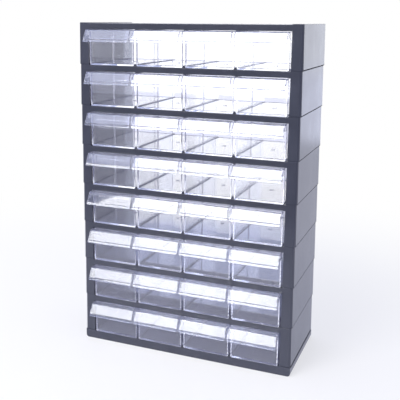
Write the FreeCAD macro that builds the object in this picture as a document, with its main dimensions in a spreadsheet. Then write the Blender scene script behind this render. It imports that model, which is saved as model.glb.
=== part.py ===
"""Parts bin cabinet: eight stacked moulded modules on a plinth, with four clear drawers in each.

Millimetres. +Z is up, the drawers open towards -Y, and the origin is under the middle of the
cabinet, on the surface that it stands on.
"""
import FreeCAD, Part

import math
import os
import re

import Sketcher
from FreeCAD import Placement, Rotation, Vector

ROWS = 8
COLUMNS = 4
WALL_CELLS = 3
BASE_CELLS_PER_COLUMN = 2

# Driving dimensions
SIZES = {
    # Cabinet
    "module_pitch": 54.0,
    "side_flare": 1.0,
    "cabinet_depth": 127.0,
    "corner_radius": 3.0,
    # Module: the front bar, the shelf behind it and the double side walls
    "post_width": 13.5,
    "bar_height": 8.4,
    "bar_thickness": 2.4,
    "shelf_recess": 0.7,
    "shelf_thickness": 2.6,
    "skin_thickness": 2.2,
    "web_thickness": 1.8,
    "bar_edge_radius": 0.6,
    "seam_chamfer": 0.6,
    # Guide ribs between the drawers, on the shelf and under it
    "guide_height": 3.0,
    "guide_flank": 1.6,
    "guide_clearance": 0.65,
    "guide_setback": 1.0,
    "hanger_drop": 1.5,
    "hanger_clearance": 0.85,
    # Pegs that locate one module on the next
    "peg_length": 12.0,
    "peg_height": 4.0,
    "peg_clearance": 0.3,
    # Plinth
    "base_height": 12.5,
    "base_corner_radius": 4.0,
    "groove_height": 1.6,
    "groove_depth": 1.2,
    # Drawer, and the gaps beside it
    "drawer_width": 64.2,
    "column_gap": 3.3,
    "wall_gap": 2.15,
    "drawer_wall": 1.6,
    "drawer_floor": 1.8,
    "drawer_front": 2.0,
    "drawer_proud": 0.75,
    "drawer_corner_radius": 3.0,
    "drawer_edge_radius": 0.8,
    "slide_clearance": 0.3,
    "bar_clearance": 0.4,
    "stop_clearance": 0.3,
    "stop_rise": 1.5,
    # Slot for a divider, half way along the drawer
    "slot_gap": 1.8,
    "slot_rib_width": 1.0,
    "slot_rib_depth": 0.8,
    "slot_rib_shy": 6.0,
    # Gate mark in the middle of the drawer's floor
    "gate_radius": 2.2,
    "gate_height": 0.4,
    # Awning handle along the top of the drawer's front
    "handle_overhang": 0.4,
    "flange_reach": 9.4,
    "handle_reach": 18.0,
    "handle_drop": 15.5,
    "handle_lip": 3.3,
    "handle_lip_lean": 1.6,
    "handle_thickness": 1.6,
    "handle_edge_radius": 0.8,
    "cheek_thickness": 1.2,
    "cheek_root": 6.0,
}
CHEEK_DROP_SHARE = 0.6
HALF_SHARE = 0.5

doc = FreeCAD.newDocument("parts_bin_cabinet")
sheet = doc.addObject("Spreadsheet::Sheet", "sizes")
for line, (name, value) in enumerate(SIZES.items(), start=1):
    sheet.set(f"A{line}", name.replace("_", " "))
    sheet.set(f"B{line}", str(value))
    sheet.setAlias(f"B{line}", name)
doc.recompute()


def cell(name):
    """The sheet's own name for one of the sizes, as expressions use it."""
    return f"sizes.{name}"


def worked_out(text):
    """An expression in which each size's plain name stands for its cell."""
    plain_word = r"(?<![.\w])[a-z]\w*"
    named = re.sub(plain_word, lambda word: cell(word[0]) if word[0] in SIZES else word[0], text)
    return f"({named})"


def number(text):
    """The value of an expression at the sheet's present sizes."""
    return float(sheet.evalExpression(text))


# Sizes that follow from the driving ones
SHELF_TOP = worked_out("-shelf_recess")
SHELF_UNDER = worked_out("-shelf_recess - shelf_thickness")
BAR_UNDER = worked_out("-bar_height")
MODULE_FOOT = worked_out("-module_pitch")
DRAWER_PITCH = worked_out("drawer_width + column_gap")
HALF_BAY = worked_out(f"({COLUMNS} * drawer_width + {COLUMNS - 1} * column_gap) / 2 + wall_gap")
HALF_TOP = f"({HALF_BAY} + {cell('post_width')})"
HALF_FOOT = f"({HALF_TOP} + {cell('side_flare')})"
CAVITY_OUTER = f"({HALF_TOP} - {cell('skin_thickness')})"
CAVITY_INNER = f"({HALF_BAY} + {cell('skin_thickness')})"
HALF_HANGER = worked_out("column_gap / 2 - hanger_clearance")
HALF_CREST = worked_out("column_gap / 2 - guide_clearance")
HALF_HANDLE = worked_out("drawer_width / 2 + handle_overhang")
CELL_LENGTH = worked_out(
    f"(cabinet_depth - 2 * skin_thickness - {WALL_CELLS - 1} * web_thickness) / {WALL_CELLS}"
)
PEG_WIDTH = worked_out("post_width - 2 * skin_thickness - 2 * peg_clearance")
FRONT_PLANE = worked_out("(handle_reach + drawer_proud - cabinet_depth) / 2")
DRAWER_HEIGHT = worked_out(
    "module_pitch + shelf_recess - slide_clearance - bar_height - bar_clearance"
)
DRAWER_DEPTH = worked_out(
    "cabinet_depth - bar_thickness - stop_clearance + drawer_proud"
)
DRAWER_TRAVEL = worked_out(
    "cabinet_depth - 2 * bar_thickness - 2 * stop_clearance - drawer_wall"
)
INNER_RADIUS = worked_out("drawer_corner_radius - drawer_wall")
SLOPE = worked_out(
    "atan((handle_drop - handle_lip) / (handle_reach - handle_lip_lean - flange_reach))"
)
LIP_SLOPE = worked_out("atan(handle_lip / handle_lip_lean)")


def new_body(label):
    """An empty body under its own label."""
    body = doc.addObject("PartDesign::Body", label)
    body.Label = label
    return body


def new_sketch(body, plane, name, offset="0"):
    """A sketch on one of the body's origin planes, moved along that plane's normal."""
    roles = {feature.Role: feature for feature in body.Origin.OriginFeatures}
    sketch = body.newObject("Sketcher::SketchObject", name)
    sketch.AttachmentSupport = [(roles[plane], "")]
    sketch.MapMode = "FlatFace"
    sketch.setExpression("AttachmentOffset.Base.z", offset)
    return sketch


def draw_outline(sketch, points):
    """A closed outline whose corners are held by expressions."""
    first = sketch.GeometryCount
    count = len(points)
    corners = [Vector(number(across), number(up), 0) for across, up in points]
    for index in range(count):
        edge = Part.LineSegment(corners[index], corners[(index + 1) % count])
        sketch.addGeometry(edge, False)
    for index in range(count):
        following = first + (index + 1) % count
        sketch.addConstraint(Sketcher.Constraint("Coincident", first + index, 2, following, 1))
    for index, (across, up) in enumerate(points):
        for kind, text, place in (
            ("DistanceX", across, corners[index].x),
            ("DistanceY", up, corners[index].y),
        ):
            held = sketch.addConstraint(Sketcher.Constraint(kind, -1, 1, first + index, 1, place))
            sketch.setExpression(f"Constraints[{held}]", text)


def draw_rectangle(sketch, left, right, low, high):
    """A closed rectangle between two places across and two places up."""
    draw_outline(sketch, [(left, low), (right, low), (right, high), (left, high)])


def add_pad(body, sketch, length, reverse=False, symmetric=False):
    """Material added along the sketch's normal, or against it."""
    pad = body.newObject("PartDesign::Pad", f"{sketch.Name}_pad")
    pad.Profile = sketch
    pad.setExpression("Length", length)
    pad.Reversed = reverse
    if symmetric:
        pad.SideType = "Symmetric"
    sketch.Visibility = False
    doc.recompute()
    return pad


def add_pocket(body, sketch, depth, reverse=False):
    """Material cut away against the sketch's normal, or along it where reversed."""
    before = body.Shape.Volume
    pocket = body.newObject("PartDesign::Pocket", f"{sketch.Name}_pocket")
    pocket.Profile = sketch
    pocket.setExpression("Length", depth)
    pocket.Reversed = reverse
    doc.recompute()
    if body.Shape.Volume >= before:
        raise RuntimeError(f"{sketch.Name} cuts nothing")


def edge_names(body, wanted):
    """Names of the edges whose two ends and middle the test accepts."""
    names = []
    for index, edge in enumerate(body.Tip.Shape.Edges, start=1):
        low, high = edge.ParameterRange
        middle = edge.valueAt((low + high) / 2)
        if wanted([edge.valueAt(low), middle, edge.valueAt(high)]):
            names.append(f"Edge{index}")
    if not names:
        raise RuntimeError(f"{body.Label} has no such edge")
    return names


def add_fillet(body, name, names, radius):
    """Edges rounded."""
    shaped = body.Tip
    fillet = body.newObject("PartDesign::Fillet", name)
    fillet.Base = (shaped, names)
    fillet.setExpression("Radius", radius)
    doc.recompute()


def add_chamfer(body, name, names, size):
    """Edges cut off at an angle."""
    shaped = body.Tip
    chamfer = body.newObject("PartDesign::Chamfer", name)
    chamfer.Base = (shaped, names)
    chamfer.setExpression("Size", size)
    doc.recompute()


def same(one, other):
    """Whether two places are the same, within the model's tolerance."""
    return math.isclose(one, other, abs_tol=Part.Precision.approximation())


def column_edge(column):
    """Where one column of drawers ends and the next begins, across the cabinet."""
    return f"({column - COLUMNS / 2} * {DRAWER_PITCH})"


def column_middle(column):
    """The middle of a column of drawers, counted from 1 on the left."""
    return f"({column - (COLUMNS + 1) / 2} * {DRAWER_PITCH})"


def add_guides(body, level):
    """Three ribs on a shelf that keep the drawers in their columns."""
    sketch = new_sketch(body, "XZ_Plane", f"{body.Name}_guides", worked_out("-guide_setback"))
    crest = f"({level} + {cell('guide_height')})"
    for column in range(1, COLUMNS):
        crest_left = f"({column_edge(column)} - {HALF_CREST})"
        crest_right = f"({column_edge(column)} + {HALF_CREST})"
        foot_left = f"({crest_left} - {cell('guide_flank')})"
        foot_right = f"({crest_right} + {cell('guide_flank')})"
        draw_outline(
            sketch,
            [(foot_left, level), (foot_right, level), (crest_right, crest), (crest_left, crest)],
        )
    add_pad(body, sketch, worked_out("cabinet_depth - 2 * guide_setback"), reverse=True)


def add_pegs(body):
    """Four pegs on the side walls that stand inside the walls of the module above."""
    sketch = new_sketch(body, "XY_Plane", f"{body.Name}_pegs")
    inner = f"({CAVITY_INNER} + {cell('peg_clearance')})"
    outer = f"({inner} + {PEG_WIDTH})"
    front = worked_out("skin_thickness + peg_clearance")
    back = worked_out("cabinet_depth - skin_thickness - peg_clearance")
    for left, right in ((inner, outer), (f"(-{outer})", f"(-{inner})")):
        draw_rectangle(sketch, left, right, front, f"({front} + {cell('peg_length')})")
        draw_rectangle(sketch, left, right, f"({back} - {cell('peg_length')})", back)
    add_pad(body, sketch, cell("peg_height"))


def add_shelf_recess(body):
    """The shelf between the posts, a little below the seam where modules meet."""
    sketch = new_sketch(body, "XY_Plane", f"{body.Name}_shelf")
    draw_rectangle(sketch, f"(-{HALF_BAY})", HALF_BAY, "0", cell("cabinet_depth"))
    add_pocket(body, sketch, cell("shelf_recess"))


def round_upright_corners(body, half_width):
    """The four upright edges of the outer walls rounded."""
    limit = number(half_width)

    def upright(points):
        return all(abs(point.x) >= limit for point in points) and not same(
            points[0].z, points[-1].z
        )

    add_fillet(body, f"{body.Name}_corners", edge_names(body, upright), cell("corner_radius"))


def make_module(label, carries_module):
    """One moulded module: shelf, bars and double side walls, open at the front and back."""
    body = new_body(label)
    outline = new_sketch(body, "XZ_Plane", f"{label}_outline")
    draw_outline(
        outline,
        [
            (f"(-{HALF_TOP})", "0"),
            (HALF_TOP, "0"),
            (HALF_FOOT, MODULE_FOOT),
            (HALF_BAY, MODULE_FOOT),
            (HALF_BAY, BAR_UNDER),
            (f"(-{HALF_BAY})", BAR_UNDER),
            (f"(-{HALF_BAY})", MODULE_FOOT),
            (f"(-{HALF_FOOT})", MODULE_FOOT),
        ],
    )
    add_pad(body, outline, cell("cabinet_depth"), reverse=True)
    round_upright_corners(body, HALF_TOP)

    foot = number(MODULE_FOOT)
    bay = number(HALF_BAY)

    def outer_foot(points):
        on_foot = all(same(point.z, foot) for point in points)
        return on_foot and not all(same(abs(point.x), bay) for point in points)

    def outer_top(points):
        on_top = all(same(point.z, 0) for point in points)
        return on_top and not all(same(abs(point.x), bay) for point in points)

    add_chamfer(body, f"{label}_foot_seam", edge_names(body, outer_foot), cell("seam_chamfer"))
    add_shelf_recess(body)
    add_chamfer(body, f"{label}_top_seam", edge_names(body, outer_top), cell("seam_chamfer"))

    def bay_rim(points):
        on_front = all(same(point.y, 0) for point in points)
        along_bar = all(same(point.z, number(BAR_UNDER)) for point in points)
        along_top = all(same(point.z, number(SHELF_TOP)) for point in points)
        return on_front and (along_bar or along_top)

    add_fillet(body, f"{label}_bar_edges", edge_names(body, bay_rim), cell("bar_edge_radius"))

    ceiling = new_sketch(body, "XY_Plane", f"{label}_ceiling", BAR_UNDER)
    behind_bar = cell("bar_thickness")
    before_bar = worked_out("cabinet_depth - bar_thickness")
    for column in range(1, COLUMNS + 1):
        left = f"({column_edge(column - 1)} + {HALF_HANGER})" if column > 1 else f"(-{HALF_BAY})"
        right = f"({column_edge(column)} - {HALF_HANGER})" if column < COLUMNS else HALF_BAY
        draw_rectangle(ceiling, left, right, behind_bar, before_bar)
    add_pocket(body, ceiling, f"({SHELF_UNDER} - {BAR_UNDER})", reverse=True)

    hangers = new_sketch(body, "XY_Plane", f"{label}_hangers", BAR_UNDER)
    for column in range(1, COLUMNS):
        middle = column_edge(column)
        draw_rectangle(
            hangers,
            f"({middle} - {HALF_HANGER})",
            f"({middle} + {HALF_HANGER})",
            cell("guide_setback"),
            worked_out("cabinet_depth - guide_setback"),
        )
    add_pad(body, hangers, cell("hanger_drop"), reverse=True)

    cells = new_sketch(body, "XY_Plane", f"{label}_cells", MODULE_FOOT)
    for index in range(WALL_CELLS):
        front = f"({cell('skin_thickness')} + {index} * ({CELL_LENGTH} + {cell('web_thickness')}))"
        back = f"({front} + {CELL_LENGTH})"
        draw_rectangle(cells, CAVITY_INNER, CAVITY_OUTER, front, back)
        draw_rectangle(cells, f"(-{CAVITY_OUTER})", f"(-{CAVITY_INNER})", front, back)
    add_pocket(body, cells, f"({SHELF_UNDER} - {MODULE_FOOT})", reverse=True)

    if carries_module:
        add_guides(body, SHELF_TOP)
        add_pegs(body)
    return body


def make_base():
    """The plinth under the lowest module, hollow below."""
    body = new_body("base_plinth")
    foot = worked_out("-base_height")
    outline = new_sketch(body, "XZ_Plane", "base_outline")
    draw_rectangle(outline, f"(-{HALF_FOOT})", HALF_FOOT, foot, "0")
    add_pad(body, outline, cell("cabinet_depth"), reverse=True)
    level = number(foot)

    def long_foot(points):
        return all(same(point.z, level) for point in points) and not same(
            points[0].y, points[-1].y
        )

    add_fillet(body, "base_foot_edges", edge_names(body, long_foot), cell("base_corner_radius"))
    add_shelf_recess(body)

    groove = new_sketch(body, "XY_Plane", "base_groove")
    behind_corner = cell("corner_radius")
    in_from_side = f"({HALF_FOOT} - {cell('groove_depth')})"
    for left, right in (
        (in_from_side, HALF_FOOT),
        (f"(-{HALF_FOOT})", f"(-{in_from_side})"),
    ):
        draw_rectangle(groove, left, right, behind_corner, cell("cabinet_depth"))
    add_pocket(body, groove, cell("groove_height"))
    add_base_cells(body, foot)
    add_guides(body, SHELF_TOP)
    add_pegs(body)
    return body


def add_base_cells(body, foot):
    """The plinth's hollow underside, divided into cells by upright webs."""
    hollow_depth = worked_out("base_height - shelf_recess - shelf_thickness")
    front = cell("bar_thickness")
    back = worked_out("cabinet_depth - bar_thickness")
    hollow = new_sketch(body, "XY_Plane", "base_hollow", foot)
    draw_rectangle(hollow, f"(-{HALF_BAY})", HALF_BAY, front, back)
    add_pocket(body, hollow, hollow_depth, reverse=True)

    half_web = worked_out("web_thickness / 2")
    long_webs = new_sketch(body, "XY_Plane", "base_long_webs", foot)
    for step in range(1, BASE_CELLS_PER_COLUMN * COLUMNS):
        middle = column_edge(step / BASE_CELLS_PER_COLUMN)
        draw_rectangle(
            long_webs,
            f"({middle} - {half_web})",
            f"({middle} + {half_web})",
            worked_out("bar_thickness / 2"),
            worked_out("cabinet_depth - bar_thickness / 2"),
        )
    add_pad(body, long_webs, hollow_depth)
    cross_webs = new_sketch(body, "XY_Plane", "base_cross_webs", foot)
    for index in range(1, WALL_CELLS):
        middle = f"({front} + {index} * ({back} - {front}) / {WALL_CELLS})"
        low = f"({middle} - {half_web})"
        high = f"({middle} + {half_web})"
        draw_rectangle(cross_webs, f"(-{HALF_BAY})", HALF_BAY, low, high)
    add_pad(body, cross_webs, hollow_depth)


def make_drawer(label):
    """One clear drawer with its divider slot, back stop and awning handle."""
    body = new_body(label)
    half = worked_out("drawer_width / 2")
    outline = new_sketch(body, "XZ_Plane", "drawer_outline")
    draw_rectangle(outline, f"(-{half})", half, "0", DRAWER_HEIGHT)
    add_pad(body, outline, DRAWER_DEPTH, reverse=True)

    def long_floor(points):
        return all(same(point.z, 0) for point in points) and not same(points[0].y, points[-1].y)

    add_fillet(body, "drawer_corners", edge_names(body, long_floor), cell("drawer_corner_radius"))

    def front_rim(points):
        on_front = all(same(point.y, 0) for point in points)
        return on_front and not all(same(point.z, number(DRAWER_HEIGHT)) for point in points)

    add_fillet(body, "drawer_front_edges", edge_names(body, front_rim), cell("drawer_edge_radius"))

    inner_half = worked_out("drawer_width / 2 - drawer_wall")
    inner_depth = f"({DRAWER_DEPTH} - {worked_out('drawer_front + drawer_wall')})"
    inside = new_sketch(body, "XY_Plane", "drawer_inside", DRAWER_HEIGHT)
    draw_rectangle(
        inside,
        f"(-{inner_half})",
        inner_half,
        cell("drawer_front"),
        f"({cell('drawer_front')} + {inner_depth})",
    )
    add_pocket(body, inside, f"({DRAWER_HEIGHT} - {cell('drawer_floor')})")
    floor = number(cell("drawer_floor"))
    front = number(cell("drawer_front"))

    def inner_floor(points):
        on_floor = all(same(point.z, floor) for point in points)
        return on_floor and all(point.y > front or same(point.y, front) for point in points)

    add_fillet(body, "drawer_inner_corners", edge_names(body, inner_floor), INNER_RADIUS)

    slot = new_sketch(body, "XY_Plane", "drawer_slot", worked_out("drawer_floor / 2"))
    centre = f"({cell('drawer_front')} + {inner_depth} / 2)"
    into_wall = worked_out("drawer_width / 2 - drawer_wall / 2")
    out_of_wall = worked_out("drawer_width / 2 - drawer_wall - slot_rib_depth")
    near = worked_out("slot_gap / 2")
    far = worked_out("slot_gap / 2 + slot_rib_width")
    for low, high in (
        (f"({centre} - {far})", f"({centre} - {near})"),
        (f"({centre} + {near})", f"({centre} + {far})"),
    ):
        draw_rectangle(slot, out_of_wall, into_wall, low, high)
        draw_rectangle(slot, f"(-{into_wall})", f"(-{out_of_wall})", low, high)
    add_pad(body, slot, f"({DRAWER_HEIGHT} - {worked_out('drawer_floor / 2 + slot_rib_shy')})")

    gate = new_sketch(body, "XY_Plane", "drawer_gate", worked_out("drawer_floor / 2"))
    radius = number(cell("gate_radius"))
    gate.addGeometry(Part.Circle(Vector(0, number(centre), 0), Vector(0, 0, 1), radius), False)
    gate.addConstraint(Sketcher.Constraint("PointOnObject", 0, 3, -2))
    held = gate.addConstraint(Sketcher.Constraint("DistanceY", -1, 1, 0, 3, number(centre)))
    gate.setExpression(f"Constraints[{held}]", centre)
    held = gate.addConstraint(Sketcher.Constraint("Radius", 0, radius))
    gate.setExpression(f"Constraints[{held}]", cell("gate_radius"))
    add_pad(body, gate, worked_out("drawer_floor / 2 + gate_height"))

    stop = new_sketch(body, "XY_Plane", "drawer_stop", DRAWER_HEIGHT)
    stop_half = worked_out("drawer_width / 2 - drawer_corner_radius")
    back_wall = f"({DRAWER_DEPTH} - {cell('drawer_wall')})"
    draw_rectangle(stop, f"(-{stop_half})", stop_half, back_wall, DRAWER_DEPTH)
    add_pad(body, stop, cell("stop_rise"))
    add_handle(body)
    return body


def add_handle(body):
    """The awning handle: a flat flange, a sloping face, a steeper lip and two end cheeks."""
    half_turn = f"tan({SLOPE} / 2)"
    mean_slope = f"(({SLOPE} + {LIP_SLOPE}) / 2)"
    half_bend = f"(({LIP_SLOPE} - {SLOPE}) / 2)"
    thickness = cell("handle_thickness")
    flange = worked_out("-flange_reach")
    reach = worked_out("-handle_reach")
    bend = worked_out("handle_lip_lean - handle_reach")
    into_front = worked_out("drawer_front / 2")
    under = f"({DRAWER_HEIGHT} - {thickness})"
    knee = f"({DRAWER_HEIGHT} - {worked_out('handle_drop - handle_lip')})"
    lip_end = f"({DRAWER_HEIGHT} - {cell('handle_drop')})"
    inner_flange = f"({flange} + {thickness} * {half_turn})"
    inner_reach = f"({reach} + {thickness} / sin({LIP_SLOPE}))"
    inner_bend = f"({bend} + {thickness} * sin({mean_slope}) / cos({half_bend}))"
    inner_knee = f"({knee} - {thickness} * cos({mean_slope}) / cos({half_bend}))"
    section = new_sketch(body, "YZ_Plane", "handle_section")
    draw_outline(
        section,
        [
            (into_front, DRAWER_HEIGHT),
            (flange, DRAWER_HEIGHT),
            (bend, knee),
            (reach, lip_end),
            (inner_reach, lip_end),
            (inner_bend, inner_knee),
            (inner_flange, under),
            (into_front, under),
        ],
    )
    add_pad(body, section, f"(2 * {HALF_HANDLE})", symmetric=True)

    bend_y = number(flange)
    bend_z = number(DRAWER_HEIGHT)

    def outer_bend(points):
        return all(same(point.y, bend_y) and same(point.z, bend_z) for point in points)

    add_fillet(body, "handle_bend", edge_names(body, outer_bend), cell("handle_edge_radius"))

    share = CHEEK_DROP_SHARE
    down_slope_y = f"({flange} + {share} * ({bend} - {flange}) + {thickness} * {HALF_SHARE})"
    down_slope_z = f"({DRAWER_HEIGHT} - {share} * ({DRAWER_HEIGHT} - {knee}) - {thickness} * {HALF_SHARE})"
    mid_flange = f"({DRAWER_HEIGHT} - {thickness} * {HALF_SHARE})"
    inside_end = f"({HALF_HANDLE} - {cell('cheek_thickness')})"
    cheek = new_sketch(body, "YZ_Plane", "handle_cheek", inside_end)
    draw_outline(
        cheek,
        [
            (into_front, mid_flange),
            (inner_flange, mid_flange),
            (down_slope_y, down_slope_z),
            (into_front, f"({under} - {cell('cheek_root')})"),
        ],
    )
    pad = add_pad(body, cheek, cell("cheek_thickness"))
    roles = {feature.Role: feature for feature in body.Origin.OriginFeatures}
    mirrored = body.newObject("PartDesign::Mirrored", "handle_cheeks")
    mirrored.Originals = [pad]
    mirrored.MirrorPlane = (roles["YZ_Plane"], [""])
    body.Tip = mirrored
    doc.recompute()


def make_copy(label, original):
    """Another moulding from the same tool, which follows the first one's shape."""
    body = new_body(label)
    clone = body.newObject("PartDesign::FeatureBase", f"{label}_clone")
    clone.BaseFeature = original.Tip
    clone.Placement = original.Tip.Placement
    body.Tip = clone
    return body


def place(body, across, back, up):
    """The body put at its place in the cabinet."""
    body.Placement = Placement(Vector(0, 0, 0), Rotation())
    body.setExpression("Placement.Base.x", across)
    body.setExpression("Placement.Base.y", back)
    body.setExpression("Placement.Base.z", up)


def seam_level(row):
    """Height of the seam at the top of a row, counted from 1 at the top."""
    return worked_out(f"base_height + {ROWS + 1 - row} * module_pitch")


nodes = []

base = make_base()
place(base, "0", FRONT_PLANE, cell("base_height"))
nodes.append(base)

top_module = make_module("frame_module_1", carries_module=False)
stacked_module = make_module("frame_module_2", carries_module=True)
for row in range(1, ROWS + 1):
    if row == 1:
        module = top_module
    elif row == 2:
        module = stacked_module
    else:
        module = make_copy(f"frame_module_{row}", stacked_module)
    place(module, "0", FRONT_PLANE, seam_level(row))
    nodes.append(module)

first_drawer = make_drawer("drawer_r1c1")
for row in range(1, ROWS + 1):
    for column in range(1, COLUMNS + 1):
        if row == 1 and column == 1:
            drawer = first_drawer
        else:
            drawer = make_copy(f"drawer_r{row}c{column}", first_drawer)
        place(
            drawer,
            column_middle(column),
            f"({FRONT_PLANE} - {cell('drawer_proud')})",
            f"({seam_level(row + 1)} + {worked_out('slide_clearance - shelf_recess')})",
        )
        nodes.append(drawer)

doc.recompute()

for thing in doc.Objects:
    if "Invalid" in thing.State or "Error" in thing.State:
        raise RuntimeError(f"{thing.Name} failed: {thing.State}")
for node in nodes:
    if node.Shape.isNull() or not node.Shape.isValid() or len(node.Shape.Solids) != 1:
        raise RuntimeError(f"{node.Label} is not one valid solid")

os.makedirs("parts", exist_ok=True)
for node in nodes:
    node.Shape.exportStep(f"parts/{node.Label}.step")

print(f"{len(nodes)} parts, drawer travel {number(DRAWER_TRAVEL):.1f} mm")
print(f"front plane {number(FRONT_PLANE):.2f}, drawer height {number(DRAWER_HEIGHT):.2f}")
print(f"drawer depth {number(DRAWER_DEPTH):.2f}, total height {number(seam_level(1)):.1f} mm")
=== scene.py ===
# %% [markdown]
# # A parts bin cabinet: black stacked modules and clear drawers
#
# The real object is a stack of eight black mouldings on a low plinth, with thirty-two clear
# drawers. The frame file holds every piece at its true size, in metres, with +Z up and the
# drawers opening towards -Y. This lesson dresses it: it keeps the black mouldings and gives them
# a finish, and it models a finer drawer whose rounded edges catch the light.

import math

import bmesh
import bpy
from mathutils import Matrix, Vector


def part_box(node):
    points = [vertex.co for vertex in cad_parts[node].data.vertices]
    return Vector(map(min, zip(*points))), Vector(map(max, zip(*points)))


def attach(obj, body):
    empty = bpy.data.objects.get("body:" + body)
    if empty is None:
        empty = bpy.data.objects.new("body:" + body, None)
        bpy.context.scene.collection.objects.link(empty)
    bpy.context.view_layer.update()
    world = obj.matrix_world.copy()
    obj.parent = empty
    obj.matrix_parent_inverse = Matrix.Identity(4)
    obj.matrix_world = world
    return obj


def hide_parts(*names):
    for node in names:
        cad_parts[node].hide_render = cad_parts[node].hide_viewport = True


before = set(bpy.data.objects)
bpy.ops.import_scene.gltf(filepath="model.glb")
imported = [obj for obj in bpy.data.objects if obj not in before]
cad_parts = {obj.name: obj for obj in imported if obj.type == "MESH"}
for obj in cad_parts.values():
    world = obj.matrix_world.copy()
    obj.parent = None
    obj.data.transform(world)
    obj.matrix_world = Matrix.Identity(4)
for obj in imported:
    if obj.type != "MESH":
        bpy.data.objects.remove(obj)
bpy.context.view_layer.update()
MM = 0.001

# %% [markdown]
# ## The camera
#
# The photograph looks from the right, at the height of the top edge, and a little down. The
# camera's place, turn and lens were worked out from the corners of all eight modules. A lens
# shift stands for the crop of the photograph, so the picture stays true to the object's upright
# lines. The camera is placed by a matrix, because three angles in a row are easy to mix up.

# %% Set up the camera
SENSOR_WIDTH = 36.0
IMAGE_WIDTH = 400.0
FOCAL_LENGTH_PIXELS = 688.2
OPTICAL_CENTRE_PIXEL = (183.7, 174.4)
CAMERA_PLACE = Vector((330.6, -853.9, 448.7)) * MM
CAMERA_YAW = 0.3914
CAMERA_PITCH_DOWN = 0.2212
CAMERA_ROLL = 0.006


def make_camera():
    """The camera at the photograph's viewing angle."""
    data = bpy.data.cameras.new("camera")
    data.sensor_width = SENSOR_WIDTH
    data.lens = FOCAL_LENGTH_PIXELS / IMAGE_WIDTH * data.sensor_width
    data.shift_x = (IMAGE_WIDTH / 2 - OPTICAL_CENTRE_PIXEL[0]) / IMAGE_WIDTH
    data.shift_y = (OPTICAL_CENTRE_PIXEL[1] - IMAGE_WIDTH / 2) / IMAGE_WIDTH
    camera = bpy.data.objects.new("camera", data)
    bpy.context.scene.collection.objects.link(camera)
    bpy.context.scene.camera = camera
    turn = Matrix.Rotation(CAMERA_YAW, 4, "Z")
    tilt = Matrix.Rotation(math.pi / 2 - CAMERA_PITCH_DOWN, 4, "X")
    roll = Matrix.Rotation(CAMERA_ROLL, 4, "Z")
    camera.matrix_world = Matrix.Translation(CAMERA_PLACE) @ turn @ tilt @ roll
    return camera


camera = make_camera()
print("lens:", round(camera.data.lens, 1), "mm")

# %% [markdown]
# ## Picking faces and edges by their place
#
# Edit mode works on what is selected, and a script has no mouse. So a small helper clears the
# selection and picks every face, edge or corner whose corners all pass a test. The tests below
# read like a sentence, such as "all corners at the top".

# %% Helpers for edit mode
NEAR = 0.01 * MM
SELECT_MODES = {"faces": "FACE", "edges": "EDGE", "verts": "VERT"}


def near(one, other):
    """Whether two places are the same, to a hundredth of a millimetre."""
    return abs(one - other) < NEAR


def corners_of(item):
    """The corners of a face, an edge or a single corner."""
    return [item.co] if isinstance(item, bmesh.types.BMVert) else [v.co for v in item.verts]


def pick(kind, wanted):
    """Select the faces, edges or verts of the open mesh whose corners all pass the test."""
    bpy.ops.mesh.select_all(action="DESELECT")
    bpy.ops.mesh.select_mode(type=SELECT_MODES[kind])
    data = bpy.context.object.data
    mesh = bmesh.from_edit_mesh(data)
    chosen = [item for item in getattr(mesh, kind) if all(wanted(co) for co in corners_of(item))]
    for item in chosen:
        item.select_set(True)
    mesh.select_flush_mode()
    bmesh.update_edit_mesh(data)
    if not chosen:
        raise RuntimeError(f"no {kind} were picked")


def keep_picked(wanted):
    """Of the picked edges, keep only those whose own test passes."""
    data = bpy.context.object.data
    mesh = bmesh.from_edit_mesh(data)
    for edge in [edge for edge in mesh.edges if edge.select and not wanted(edge)]:
        edge.select_set(False)
    bmesh.update_edit_mesh(data)


def runs_back(edge):
    """Whether an edge stays at one place across, so that it runs back or up."""
    return near(edge.verts[0].co.x, edge.verts[1].co.x)


def move_picked(y=0.0, z=0.0):
    """Move what is picked, back and up."""
    bpy.ops.transform.translate(value=(0, y, z))


def extrude_picked(y=0.0, z=0.0):
    """Pull the picked face out into new walls, back and up."""
    bpy.ops.mesh.extrude_region_move(TRANSFORM_OT_translate={"value": (0, y, z)})


def round_picked(radius, steps):
    """Round the picked edges."""
    bpy.ops.mesh.bevel(offset=radius, segments=steps, affect="EDGES", clamp_overlap=True)


def open_new(name):
    """Name the piece that was just added and open it in edit mode, to be shaped."""
    piece = bpy.context.object
    piece.name = name
    bpy.ops.object.transform_apply(location=True, rotation=True, scale=True)
    bpy.ops.object.mode_set(mode="EDIT")
    return piece


def add_block(name, low, high):
    """A block between two corners, left open in edit mode."""
    bpy.ops.object.select_all(action="DESELECT")
    middle = [(a + b) / 2 for a, b in zip(low, high)]
    sides = [b - a for a, b in zip(low, high)]
    bpy.ops.mesh.primitive_cube_add(size=1, location=middle, scale=sides)
    return open_new(name)


# %% [markdown]
# ## The drawer's tray
#
# The real drawer is one clear moulding, about one and a half millimetres thick. A block with a
# smaller block cut out would do, but the round inner and outer corners make the bright and dark
# lines that tell the eye it is clear plastic. So the block is shaped as a moulder would see it:
# its long lower edges are rounded, its top is inset by the wall and pushed down to the floor,
# and the inner floor edges are rounded. The radii are small, because these lines are thin in the
# photograph. The tray is made with its front at the origin, and copies of it are put in their
# places later.

# %% Sizes of the drawer
WALL = 1.6 * MM
FLOOR = 1.8 * MM
FRONT = 2.0 * MM
HALF_WIDTH = 32.1 * MM
STOP_RISE = 1.5 * MM
CORNER_RADIUS = 2.0 * MM
INNER_RADIUS = 0.7 * MM
FRONT_RADIUS = 0.3 * MM
RIM_RADIUS = 0.35 * MM
HANDLE_REACH = 18.0 * MM
BROAD_STEPS = 8
FINE_STEPS = 4
RIM_STEPS = 3
EDGE_STEPS = 2

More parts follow.
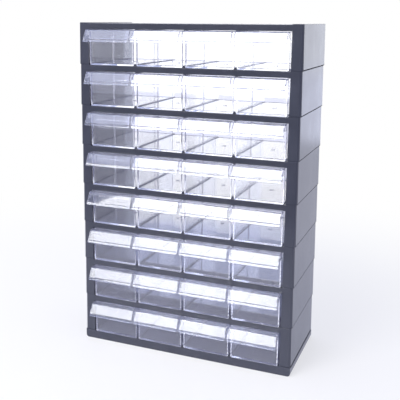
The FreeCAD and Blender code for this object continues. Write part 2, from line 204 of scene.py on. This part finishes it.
drawer_low, drawer_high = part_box("drawer_r1c1")
DEPTH = drawer_high.y - drawer_low.y - HANDLE_REACH
HEIGHT = drawer_high.z - drawer_low.z - STOP_RISE
print("drawer:", round(DEPTH / MM, 2), "mm deep,", round(HEIGHT / MM, 2), "mm high")

# %% Shape the tray
drawer = add_block("drawer", (-HALF_WIDTH, 0, 0), (HALF_WIDTH, DEPTH, HEIGHT))
pick("edges", lambda co: near(co.z, 0))
keep_picked(runs_back)
round_picked(CORNER_RADIUS, BROAD_STEPS)

pick("faces", lambda co: near(co.z, HEIGHT))
bpy.ops.mesh.inset(thickness=WALL, depth=0)
pick("verts", lambda co: near(co.z, HEIGHT) and near(co.y, WALL))
move_picked(y=FRONT - WALL)
pick(
    "faces",
    lambda co: near(co.z, HEIGHT) and abs(co.x) < HALF_WIDTH - NEAR and co.y > FRONT - NEAR,
)
extrude_picked(z=FLOOR - HEIGHT)
pick("edges", lambda co: near(co.z, FLOOR))
round_picked(INNER_RADIUS, FINE_STEPS)

# %% [markdown]
# ## The awning handle
#
# Along the top of the front runs a handle like an awning: a flat flange, a sloping face that
# mirrors the lamps, and below a fine groove a short, steeper lip. It is pulled out of the front
# wall in steps. After each step the lower edge is moved so that the sheet keeps its thickness
# round the bend, as a mitre does. The sheet starts in the front wall itself, so there is no seam
# inside the clear plastic, which would show as a dark line.

# %% Sizes and profile of the handle
THICKNESS = 1.6 * MM
OVERHANG = 0.4 * MM
FLANGE_REACH = 9.4 * MM
HANDLE_DROP = 15.5 * MM
LIP = 3.3 * MM
LIP_LEAN = 1.6 * MM
LIP_CORNER = 1.8 * MM
LIP_CORNER_STEPS = 5
GROOVE_DEPTH = 0.6 * MM
GROOVE_HALF = 0.5 * MM
BEND_RADIUS = 0.8 * MM
INNER_BEND_RADIUS = BEND_RADIUS / 2
END_RADIUS = 0.25 * MM
SIDEWAYS = 0.05


def in_profile(y, z):
    """A point of the handle's profile, which is the same all along the drawer's width."""
    return Vector((0, y, z))


def down_at(angle):
    """The way down along a sheet that leans by this angle."""
    return Vector((0, -math.cos(angle), -math.sin(angle)))


def out_at(angle):
    """The way out of the upper skin of a sheet that leans by this angle."""
    return Vector((0, -math.sin(angle), math.cos(angle)))


def on_lines(*points):
    """A test for corners on the lines that run across the handle through these points."""
    return lambda co: any(near(co.y, point.y) and near(co.z, point.z) for point in points)


half_handle = HALF_WIDTH + OVERHANG
flange_under = HEIGHT - THICKNESS
lip_end = HEIGHT - HANDLE_DROP
flange_bend = in_profile(-FLANGE_REACH, HEIGHT)
knee = in_profile(LIP_LEAN - HANDLE_REACH, lip_end + LIP)
slope = math.atan2(flange_bend.z - knee.z, flange_bend.y - knee.y)
lip_slope = math.atan2(LIP, LIP_LEAN)
mean_slope = (slope + lip_slope) / 2
inner_flange = flange_bend + in_profile(THICKNESS * math.tan(slope / 2), -THICKNESS)
inner_knee = knee - out_at(mean_slope) * THICKNESS / math.cos((lip_slope - slope) / 2)
groove_top = knee - down_at(slope) * GROOVE_HALF
groove_end = knee + down_at(lip_slope) * GROOVE_HALF
sections = (
    (flange_bend, inner_flange),
    (groove_top, groove_top - out_at(slope) * THICKNESS),
    (knee - out_at(mean_slope) * GROOVE_DEPTH, inner_knee),
    (groove_end, groove_end - out_at(lip_slope) * THICKNESS),
    (
        in_profile(-HANDLE_REACH, lip_end),
        in_profile(-HANDLE_REACH + THICKNESS / math.sin(lip_slope), lip_end),
    ),
)

# %% Pull out the handle
bpy.ops.mesh.select_all(action="SELECT")
bpy.ops.mesh.bisect(plane_co=(0, 0, flange_under), plane_no=(0, 0, 1))
pick("faces", lambda co: near(co.y, 0) and co.z > flange_under - NEAR)
extrude_picked(y=-OVERHANG)
bpy.ops.transform.resize(value=(1 + OVERHANG / HALF_WIDTH, 1, 1))
outer = in_profile(-OVERHANG, HEIGHT)
inner = in_profile(-OVERHANG, flange_under)
for next_outer, next_inner in sections:
    step = next_outer - outer
    pick("faces", on_lines(outer, inner))
    extrude_picked(y=step.y, z=step.z)
    pick("verts", on_lines(inner + step))
    fit = next_inner - inner - step
    move_picked(y=fit.y, z=fit.z)
    outer, inner = next_outer, next_inner


# %% Round the handle's corners, bends and ends
def is_end(face):
    """Whether a face closes the handle at its sides or at its lower edge."""
    return abs(face.normal.x) > SIDEWAYS or all(near(v.co.z, lip_end) for v in face.verts)


pick("edges", lambda co: near(abs(co.x), half_handle) and near(co.z, lip_end))
keep_picked(runs_back)
round_picked(LIP_CORNER, LIP_CORNER_STEPS)
for line, radius in ((flange_bend, BEND_RADIUS), (inner_flange, INNER_BEND_RADIUS)):
    pick("edges", on_lines(line))
    round_picked(radius, FINE_STEPS)
pick("edges", lambda co: co.y < -OVERHANG + NEAR)
keep_picked(lambda edge: sum(is_end(face) for face in edge.link_faces) == 1)
round_picked(END_RADIUS, EDGE_STEPS)

# %% Round the tray's rim, front and back
pick("edges", lambda co: near(co.z, HEIGHT) and co.y > -NEAR)
keep_picked(lambda edge: not all(near(v.co.y, 0) for v in edge.verts))
round_picked(RIM_RADIUS, RIM_STEPS)
pick("edges", lambda co: near(co.y, 0) and co.z < flange_under + NEAR)
keep_picked(lambda edge: not all(near(v.co.z, flange_under) for v in edge.verts))
round_picked(FRONT_RADIUS, FINE_STEPS)
pick("edges", lambda co: near(co.y, DEPTH) and co.z < HEIGHT - RIM_RADIUS + NEAR)
round_picked(FRONT_RADIUS, RIM_STEPS)
bpy.ops.object.mode_set(mode="OBJECT")
print("tray and handle:", len(drawer.data.polygons), "faces")

# %% [markdown]
# ## Small forms of the drawer
#
# A cheek closes each end of the handle under its slope, two ribs on each side wall make a slot
# for a divider, a low disc marks where the plastic came in, and the back wall rises a little as
# a stop. Each is a small block or disc that is shaped and then joined to the tray with a Boolean,
# because in clear plastic two solids that only overlap would show their hidden faces.

# %% Add cheeks, ribs, the gate mark and the stop
CHEEK = 1.2 * MM
CHEEK_SET_IN = 0.5 * MM
CHEEK_ROOT = 6.0 * MM
CHEEK_DROP_SHARE = 0.6
RIB_WIDTH = 1.0 * MM
RIB_DEPTH = 0.8 * MM
RIB_SHY = 6.0 * MM
RIB_ROUND_SHARE = 0.35
SLOT_GAP = 1.8 * MM
GATE_RADIUS = 2.6 * MM
GATE_HEIGHT = 0.8 * MM
GATE_SIDES = 32
GATE_ROUND_SHARE = 0.2
STOP_FACE_SHARE = 0.9
STOP_BACK_SHARE = 0.1

mid_depth = (FRONT + DEPTH - WALL) / 2
cheek_root = flange_under - CHEEK_ROOT
cheek_tip = flange_bend.lerp(knee, CHEEK_DROP_SHARE)
small_forms = []


def finish_form():
    """Close a small form's edit mode and keep it for the join."""
    bpy.ops.object.mode_set(mode="OBJECT")
    small_forms.append(bpy.context.object)


for side in (-1, 1):
    outer = side * (half_handle - CHEEK_SET_IN)
    inner = outer - side * CHEEK
    add_block(
        "cheek",
        (min(outer, inner), inner_flange.y, cheek_root),
        (max(outer, inner), FRONT / 2, HEIGHT - THICKNESS / 2),
    )
    pick("verts", lambda co: near(co.y, inner_flange.y) and near(co.z, cheek_root))
    move_picked(
        y=cheek_tip.y + THICKNESS / 2 - inner_flange.y,
        z=cheek_tip.z - THICKNESS / 2 - cheek_root,
    )
    finish_form()
    for way in (-1, 1):
        rib_middle = mid_depth + way * (SLOT_GAP + RIB_WIDTH) / 2
        into_wall = side * (HALF_WIDTH - WALL / 2)
        out_of_wall = side * (HALF_WIDTH - WALL - RIB_DEPTH)
        add_block(
            "slot_rib",
            (min(into_wall, out_of_wall), rib_middle - RIB_WIDTH / 2, FLOOR / 2),
            (max(into_wall, out_of_wall), rib_middle + RIB_WIDTH / 2, HEIGHT - RIB_SHY),
        )
        pick("edges", lambda co: near(co.x, out_of_wall))
        round_picked(RIB_WIDTH * RIB_ROUND_SHARE, RIM_STEPS)
        finish_form()

bpy.ops.object.select_all(action="DESELECT")
gate_depth = FLOOR / 2 + GATE_HEIGHT
bpy.ops.mesh.primitive_cylinder_add(
    vertices=GATE_SIDES,
    radius=GATE_RADIUS,
    depth=gate_depth,
    location=(0, mid_depth, FLOOR / 2 + gate_depth / 2),
)
open_new("gate_mark")
pick("edges", lambda co: near(co.z, FLOOR + GATE_HEIGHT))
round_picked(GATE_HEIGHT * GATE_ROUND_SHARE, EDGE_STEPS)
finish_form()

add_block(
    "stop",
    (-HALF_WIDTH + CORNER_RADIUS, DEPTH - WALL * STOP_FACE_SHARE, HEIGHT - STOP_RISE),
    (HALF_WIDTH - CORNER_RADIUS, DEPTH - WALL * STOP_BACK_SHARE, HEIGHT + STOP_RISE),
)
pick("edges", lambda co: near(co.z, HEIGHT + STOP_RISE))
round_picked(RIM_RADIUS, EDGE_STEPS)
finish_form()

# %% Join the small forms to the tray
SHARP_ANGLE = math.radians(40)
FLAT_FACE_WEIGHT = 100

bpy.ops.object.select_all(action="DESELECT")
for form in small_forms:
    form.select_set(True)
bpy.context.view_layer.objects.active = small_forms[0]
bpy.ops.object.join()
forms = bpy.context.object
bpy.context.view_layer.objects.active = drawer
joined = drawer.modifiers.new("small_forms", "BOOLEAN")
joined.operation = "UNION"
joined.solver = "EXACT"
joined.object = forms
bpy.ops.object.modifier_apply(modifier=joined.name)
bpy.data.objects.remove(forms)

bpy.ops.object.select_all(action="DESELECT")
drawer.select_set(True)
bpy.ops.object.mode_set(mode="EDIT")
bpy.ops.mesh.select_all(action="SELECT")
bpy.ops.mesh.remove_doubles(threshold=NEAR / 10)
bpy.ops.mesh.normals_make_consistent(inside=False)
bpy.ops.object.mode_set(mode="OBJECT")
bpy.ops.object.shade_smooth_by_angle(angle=SHARP_ANGLE)
weighted = drawer.modifiers.new("flat_faces_stay_flat", "WEIGHTED_NORMAL")
weighted.weight = FLAT_FACE_WEIGHT
weighted.keep_sharp = True
bpy.ops.object.modifier_apply(modifier=weighted.name)

# %% Check that the drawer is closed
CM = 10 * MM


def describe(piece):
    """Print a piece's size, its triangles and whether it is one closed skin."""
    mesh = bmesh.new()
    mesh.from_mesh(piece.data)
    open_edges = sum(len(edge.link_faces) != 2 for edge in mesh.edges)
    triangles = sum(len(face.verts) - 2 for face in mesh.faces)
    volume = round(mesh.calc_volume(signed=True) / CM**3, 2)
    mesh.free()
    sides = [round(side / MM, 2) for side in piece.dimensions]
    print(piece.name, sides, "mm,", triangles, "triangles,", open_edges, "open edges,", volume, "cm3")


describe(drawer)

# %% Copy the drawer to its thirty-two places
clear_drawers = []
for name in sorted(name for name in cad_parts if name.startswith("drawer")):
    low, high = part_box(name)
    copy = bpy.data.objects.new(f"clear_{name}", drawer.data.copy())
    copy.data.transform(Matrix.Translation(((low.x + high.x) / 2, low.y + HANDLE_REACH, low.z)))
    bpy.context.scene.collection.objects.link(copy)
    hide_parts(name)
    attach(copy, name)
    clear_drawers.append(copy)
bpy.data.objects.remove(drawer)
print(len(clear_drawers), "drawers placed")

# %% [markdown]
# ## Helpers for materials
#
# A material is a tree of nodes. Each helper adds one node, gives its inputs a fixed value or
# another node's output, and hands back its own output, so a tree can be written like a sum.
# Colours are three numbers here, and the fourth is added where a node asks for it.

# %% Build the helpers
def fill(tree, socket, value):
    """Give an input a fixed value, or join it to another node's output."""
    if isinstance(value, bpy.types.NodeSocket):
        tree.links.new(value, socket)
    elif socket.type == "RGBA":
        socket.default_value = (*value, 1)
    else:
        socket.default_value = value


def add_node(tree, kind, inputs=None, **settings):
    """A shader node with its settings and inputs."""
    node = tree.nodes.new(f"ShaderNode{kind}")
    for name, value in settings.items():
        setattr(node, name, value)
    for name, value in (inputs or {}).items():
        fill(tree, node.inputs[name], value)
    return node


def add_math(tree, operation, *values, clamped=False):
    """One step of sums on numbers and outputs."""
    places = dict(enumerate(values))
    return add_node(tree, "Math", places, operation=operation, use_clamp=clamped).outputs["Value"]


def add_range(tree, value, low, high, start=0, end=1, smooth=False):
    """A number that goes from low to high while the value goes from start to end."""
    inputs = {"Value": value, "From Min": start, "From Max": end, "To Min": low, "To Max": high}
    course = "SMOOTHSTEP" if smooth else "LINEAR"
    return add_node(tree, "MapRange", inputs, interpolation_type=course).outputs["Result"]


def add_blend(tree, share, first, second):
    """A colour that goes from the first to the second with a share."""
    inputs = {"Factor": share, "A": first, "B": second}
    return add_node(tree, "Mix", inputs, data_type="RGBA").outputs["Result"]


def split_axes(tree, vector):
    """The outputs X, Y and Z of a place or direction."""
    return add_node(tree, "SeparateXYZ", {"Vector": vector}).outputs


def rays_of(tree):
    """Outputs that are one for their own kind of ray."""
    return add_node(tree, "LightPath").outputs


def show_mix(tree, share, first, second, output):
    """Two shaders mixed by a share, as what the output shows."""
    mix = add_node(tree, "MixShader", {"Fac": share, 1: first, 2: second})
    fill(tree, tree.nodes[output].inputs["Surface"], mix.outputs["Shader"])


def new_material(name):
    """A material with its node tree and its Principled BSDF."""
    material = bpy.data.materials.new(name)
    material.use_nodes = True
    return material, material.node_tree, material.node_tree.nodes["Principled BSDF"]


def dress(pieces, material):
    """Give pieces one material and nothing else."""
    for piece in pieces:
        piece.data.materials.clear()
        piece.data.materials.append(material)


# %% [markdown]
# ## A moulded surface
#
# Neither plastic is perfectly even. Both come from a mould, so they carry soft streaks along the
# way the mould opened, a little rubbing in patches and a fine grain. One node group makes these
# three masks, and each material takes the ones that it needs in its own strength. The group puts
# out only masks, and the shaders stay in the materials, because that is what can be exported.

# %% Build the moulded surface group
STREAKS = {"scale": 160, "detail": 4, "stretch": (1, 1, 0.06)}
PATCHES = {"scale": 28, "detail": 3}
GRAIN = {"scale": 1400, "detail": 2}
MIDDLE_LOW = 0.35
MIDDLE_HIGH = 0.65


def add_noise(tree, place, scale, detail, stretch=(1, 1, 1)):
    """A noise pattern, stretched along the object's own axes."""
    mapped = add_node(tree, "Mapping", {"Vector": place, "Scale": stretch}).outputs["Vector"]
    inputs = {"Vector": mapped, "Scale": scale, "Detail": detail}
    return add_node(tree, "TexNoise", inputs).outputs["Fac"]


def add_spread(tree, noise):
    """A noise pattern whose middle values are spread from nought to one."""
    return add_range(tree, noise, 0, 1, start=MIDDLE_LOW, end=MIDDLE_HIGH)


def make_moulded_surface():
    """Masks for streaks, rubbed patches and grain on moulded plastic."""
    group = bpy.data.node_groups.new("moulded_surface", "ShaderNodeTree")
    place = add_node(group, "TexCoord").outputs["Object"]
    masks = {
        "Streaks": add_spread(group, add_noise(group, place, **STREAKS)),
        "Patches": add_spread(group, add_noise(group, place, **PATCHES)),
        "Grain": add_noise(group, place, **GRAIN),
    }
    for name in masks:
        group.interface.new_socket(name, in_out="OUTPUT", socket_type="NodeSocketFloat")
    result = group.nodes.new("NodeGroupOutput")
    for name, mask in masks.items():
        fill(group, result.inputs[name], mask)
    return group


moulded_surface = make_moulded_surface()


def add_surface(tree):
    """The masks of the moulded surface group, placed in a material."""
    return add_node(tree, "Group", node_tree=moulded_surface).outputs


# %% [markdown]
# ## Black plastic
#
# The modules and the plinth are black polystyrene, which looks slate blue where the white room
# shines on it. It is moulded with a slightly rough skin, so it mirrors softly: the side wall
# that meets the eye at a flat angle looks pale grey. Patches change its tone and roughness a
# little, and streaks its mirroring. Where two mouldings meet, a thin shadow gap catches no light,
# so a fine line of painted shade along each moulding's lower edge is nearly black and mirrors
# nothing.

# %% Make the black plastic
BLACK_DEEP = (0.046, 0.049, 0.066)
BLACK_PALE = (0.052, 0.055, 0.074)
BLACK_ROUGHNESS = (0.21, 0.24)
BLACK_MIRROR = (0.45, 0.55)
BLACK_IOR = 1.55
GRAIN_STRENGTH = 0.12
GRAIN_DEPTH = 0.05 * MM
# The colour of the painted shade in the fine line at each seam.
SEAM_SHADE_COLOR = (0.004, 0.004, 0.006)
PLINTH_TOP = 12.5 * MM
MODULE_PITCH = 54.0 * MM
SEAM_RAISE = 0.8 * MM
SEAM_HALF = 0.5 * MM
FACES_FRONT = 0.5


def add_painted_seam_shade(tree):
    """One in a fine line of painted shade along each moulding's lower edge, but not on its front."""
    coordinates = add_node(tree, "TexCoord").outputs
    height = split_axes(tree, coordinates["Object"])["Z"]
    half_way = PLINTH_TOP + SEAM_RAISE - MODULE_PITCH / 2
    from_middle = add_math(tree, "SUBTRACT", height, half_way)
    in_module = add_math(tree, "MODULO", from_middle, MODULE_PITCH)
    to_seam = add_math(tree, "SUBTRACT", in_module, MODULE_PITCH / 2)
    away = add_math(tree, "ABSOLUTE", to_seam)
    in_seam_shade = add_math(tree, "LESS_THAN", away, SEAM_HALF)
    facing = add_math(tree, "ABSOLUTE", split_axes(tree, coordinates["Normal"])["Y"])
    not_front = add_math(tree, "LESS_THAN", facing, FACES_FRONT)
    return add_math(tree, "MINIMUM", in_seam_shade, not_front)


def make_black_plastic():
    """The cabinet's black moulded plastic."""
    material, tree, plastic = new_material("black_plastic")
    surface = add_surface(tree)
    seam_shade = add_painted_seam_shade(tree)
    tone = add_blend(tree, surface["Patches"], BLACK_DEEP, BLACK_PALE)
    mirror = add_range(tree, surface["Streaks"], *BLACK_MIRROR)
    outside_seam_shade = add_range(tree, seam_shade, 1, 0)
    bump_inputs = {
        "Strength": GRAIN_STRENGTH,
        "Distance": GRAIN_DEPTH,
        "Height": surface["Grain"],
    }
    # Painted shade: the seam mask darkens the colour and takes away the mirroring in a fine line.
    inputs = {
        "Base Color": add_blend(tree, seam_shade, tone, SEAM_SHADE_COLOR),
        "Roughness": add_range(tree, surface["Patches"], *BLACK_ROUGHNESS),
        "Specular IOR Level": add_math(tree, "MULTIPLY", mirror, outside_seam_shade),
        "Normal": add_node(tree, "Bump", bump_inputs).outputs["Normal"],
        "IOR": BLACK_IOR,
    }
    for name, value in inputs.items():
        fill(tree, plastic.inputs[name], value)
    return material


mouldings = [node for name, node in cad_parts.items() if not name.startswith("drawer")]
dress(mouldings, make_black_plastic())

# %% [markdown]
# ## Clear plastic
#
# The drawers are clear styrene. Light goes through it, and bends and mirrors at each skin. The
# plastic itself scatters a little of it, which gives the drawers their milky lilac veil in front
# of black. Following that light inside thin walls would take a renderer very long, so a faint
# lilac glow stands for it. Lamps shine straight through clear walls, but a renderer finds that
# slow too, so for shadow rays the plastic is simply a pale tinted window.

# %% Make the clear plastic
CLEAR_DEEP = (0.993, 0.994, 1.0)
CLEAR_PALE = (0.997, 0.998, 1.0)
CLEAR_ROUGHNESS = (0.015, 0.03)
CLEAR_TRANSMISSION = 0.985
CLEAR_IOR = 1.56
SCATTER_GLOW_COLOR = (0.50, 0.52, 1.0)
SCATTER_GLOW_STRENGTH = 0.012
WINDOW = (0.95, 0.955, 0.985)


def make_clear_plastic():
    """The drawers' clear plastic."""
    material, tree, plastic = new_material("clear_plastic")
    surface = add_surface(tree)
    inputs = {
        "Base Color": add_blend(tree, surface["Patches"], CLEAR_DEEP, CLEAR_PALE),
        "Roughness": add_range(tree, surface["Streaks"], *CLEAR_ROUGHNESS),
        "Transmission Weight": CLEAR_TRANSMISSION,
        "IOR": CLEAR_IOR,
        # Painted light: a faint lilac glow stands for light scattered inside the plastic.
        "Emission Color": SCATTER_GLOW_COLOR,
        "Emission Strength": SCATTER_GLOW_STRENGTH,
    }
    for name, value in inputs.items():
        fill(tree, plastic.inputs[name], value)
    window = add_node(tree, "BsdfTransparent", {"Color": WINDOW}).outputs["BSDF"]
    in_shadow = rays_of(tree)["Is Shadow Ray"]
    show_mix(tree, in_shadow, plastic.outputs["BSDF"], window, "Material Output")
    return material


dress(clear_drawers, make_clear_plastic())

# %% [markdown]
# ## Floor and backdrop
#
# The photograph was taken on a white sweep. The floor near the cabinet is lit by the lamps and
# takes its shadow, and further out it turns into plain white, as the backdrop behind it. The
# white is a colour that only the camera, mirrors and clear plastic see. What mirrors see of it is
# dim towards the front, where the room has no light, and a little lilac on the floor. Above the
# backdrop, and in part at its right, mirrors and clear plastic see a lilac room. The world's own
# light on the object is weaker and a little lilac too.

# %% Make the floor and the world
WHITE = (1, 1, 1)
FLOOR_SIZE = 12.0
PAPER = (0.90, 0.88, 0.88)
PAPER_ROUGHNESS = 0.7
MIRRORED_FLOOR = (0.96, 0.98, 1.15)
TABLE_EDGE_DIM = -0.60
TABLE_EDGE_LIT = -0.45
WHITE_SHARE_AT_CABINET = 0.6
SHADOW_REACH = 0.15
WHITE_REACH = 0.9
ROOM_LIGHT = (0.72, 0.77, 1.0)
ROOM_LIGHT_STRENGTH = 0.9
ROOM_FRONT = 0.12
ROOM_FRONT_DIM = -0.3
ROOM_FRONT_LIT = 0.1
ROOM_ABOVE = (0.50, 0.56, 0.86)
ROOM_RIGHT_SHARE = 0.3
BACKDROP_TOP = 0.286
BACKDROP_TOP_BLUR = 0.01
BACKDROP_RIGHT = 0.36
BACKDROP_RIGHT_BLUR = 0.05


def add_seen_rays(tree):
    """One for rays that look: camera, glossy and transmission rays."""
    rays = rays_of(tree)
    seen = add_math(tree, "ADD", rays["Is Camera Ray"], rays["Is Glossy Ray"])
    return add_math(tree, "ADD", seen, rays["Is Transmission Ray"], clamped=True)


def add_dim_front(tree, vector, dim_at, lit_at):
    """One where it is looked at, but less in mirrors towards the room's unlit front."""
    back = split_axes(tree, vector)["Y"]
    loss = add_range(tree, back, ROOM_FRONT - 1, 0, start=dim_at, end=lit_at, smooth=True)
    return add_math(tree, "MULTIPLY_ADD", loss, rays_of(tree)["Is Glossy Ray"], 1)


def make_floor():
    """The pale floor, which turns into the white backdrop further out."""
    bpy.ops.object.select_all(action="DESELECT")
    bpy.ops.mesh.primitive_plane_add(size=FLOOR_SIZE, location=(0, 0, 0))
    floor = bpy.context.object
    floor.name = "floor"
    material, tree, paper = new_material("pale_floor")
    fill(tree, paper.inputs["Base Color"], PAPER)
    fill(tree, paper.inputs["Roughness"], PAPER_ROUGHNESS)
    place = add_node(tree, "TexCoord").outputs["Object"]
    white_inputs = {
        "Color": add_blend(tree, rays_of(tree)["Is Glossy Ray"], WHITE, MIRRORED_FLOOR),
        "Strength": add_dim_front(tree, place, TABLE_EDGE_DIM, TABLE_EDGE_LIT),
    }
    white = add_node(tree, "Emission", white_inputs).outputs["Emission"]
    distance = add_node(tree, "VectorMath", {0: place}, operation="LENGTH").outputs["Value"]
    outward = add_range(
        tree, distance, WHITE_SHARE_AT_CABINET, 1,
        start=SHADOW_REACH, end=WHITE_REACH, smooth=True,
    )
    share = add_math(tree, "MULTIPLY", outward, add_seen_rays(tree))
    show_mix(tree, share, paper.outputs["BSDF"], white, "Material Output")
    dress([floor], material)


def add_room_share(tree, direction):
    """How much of the lilac room stands in for the white backdrop in this direction."""
    axes = split_axes(tree, direction)
    above = add_range(
        tree, axes["Z"], 0, 1,
        start=BACKDROP_TOP - BACKDROP_TOP_BLUR, end=BACKDROP_TOP + BACKDROP_TOP_BLUR, smooth=True,
    )
    right = add_range(
        tree, axes["X"], 0, ROOM_RIGHT_SHARE,
        start=BACKDROP_RIGHT - BACKDROP_RIGHT_BLUR, end=BACKDROP_RIGHT + BACKDROP_RIGHT_BLUR,
        smooth=True,
    )
    beside = add_math(tree, "MAXIMUM", above, right)
    return add_math(tree, "SUBTRACT", beside, rays_of(tree)["Is Camera Ray"], clamped=True)


def make_world():
    """White where it is looked at, and a soft lilac light on the object."""
    world = bpy.data.worlds.new("studio")
    bpy.context.scene.world = world
    world.use_nodes = True
    tree = world.node_tree
    light = tree.nodes["Background"]
    fill(tree, light.inputs["Color"], ROOM_LIGHT)
    fill(tree, light.inputs["Strength"], ROOM_LIGHT_STRENGTH)
    direction = add_node(tree, "TexCoord").outputs["Generated"]
    grey = add_dim_front(tree, direction, ROOM_FRONT_DIM, ROOM_FRONT_LIT)
    channels = {"Red": grey, "Green": grey, "Blue": grey}
    backdrop = add_node(tree, "CombineColor", channels).outputs["Color"]
    seen = add_blend(tree, add_room_share(tree, direction), backdrop, ROOM_ABOVE)
    white = add_node(tree, "Background", {"Color": seen}).outputs["Background"]
    show_mix(tree, add_seen_rays(tree), light.outputs["Background"], white, "World Output")


make_floor()
make_world()

# %% [markdown]
# ## Lamps
#
# The sloping faces of the handles mirror what stands in front of the cabinet. In the four lower
# rows that is a large bright softbox, in the upper rows a second softbox above it, and in the
# upper rows' first column a dim lilac ceiling at its left. Their places were found by following
# the mirrored lines of sight from the rows. The backlight stands far behind on the left, where
# the clear drawers let it through, and the side light behind on the right, where the side wall
# mirrors it. Clear plastic needs many bounces, because each wall has two skins.

# %% Set up the lamps
def make_softbox(name, shape, place, target, size, power, color):
    """A soft lamp that looks at a target and isn't seen itself."""
    data = bpy.data.lights.new(name, "AREA")
    data.shape = shape
    data.size, data.size_y = size
    data.energy = power
    data.color = color
    lamp = bpy.data.objects.new(name, data)
    bpy.context.scene.collection.objects.link(lamp)
    lamp.location = place
    away = Vector(place) - Vector(target)
    lamp.rotation_euler = away.to_track_quat("Z", "Y").to_euler()
    lamp.visible_camera = False


make_softbox(
    "key_softbox", "ELLIPSE", size=(1.08, 0.66), power=11.0, color=WHITE,
    place=(-0.47, -1.2155, 0.9525), target=(-0.47, -0.0787, 0.047),
)
make_softbox(
    "upper_softbox", "RECTANGLE", size=(0.62, 0.50), power=4.4, color=WHITE,
    place=(-0.40, -0.8915, 1.3592), target=(-0.40, 0.2453, 0.4537),
)
make_softbox(
    "ceiling", "RECTANGLE", size=(0.60, 0.50), power=1.6, color=(0.68, 0.73, 1.0),
    place=(-0.99, -0.8475, 1.4146), target=(-0.99, 0.2896, 0.509),
)
make_softbox(
    "backlight", "RECTANGLE", size=(2.4, 1.18), power=7.6, color=(0.95, 0.96, 1.0),
    place=(-1.4, 3.0, 0.60), target=(-1.4, 0.0, 0.60),
)
make_softbox(
    "side_light", "RECTANGLE", size=(0.32, 0.76), power=0.9, color=(0.76, 0.81, 1.0),
    place=(0.36, 1.3, 0.46), target=(0.36, 0.0, 0.46),
)
cycles = bpy.context.scene.cycles
cycles.max_bounces = 20
cycles.glossy_bounces = 16
cycles.transmission_bounces = 20
cycles.transparent_max_bounces = 64
bpy.context.scene.view_settings.view_transform = "Standard"
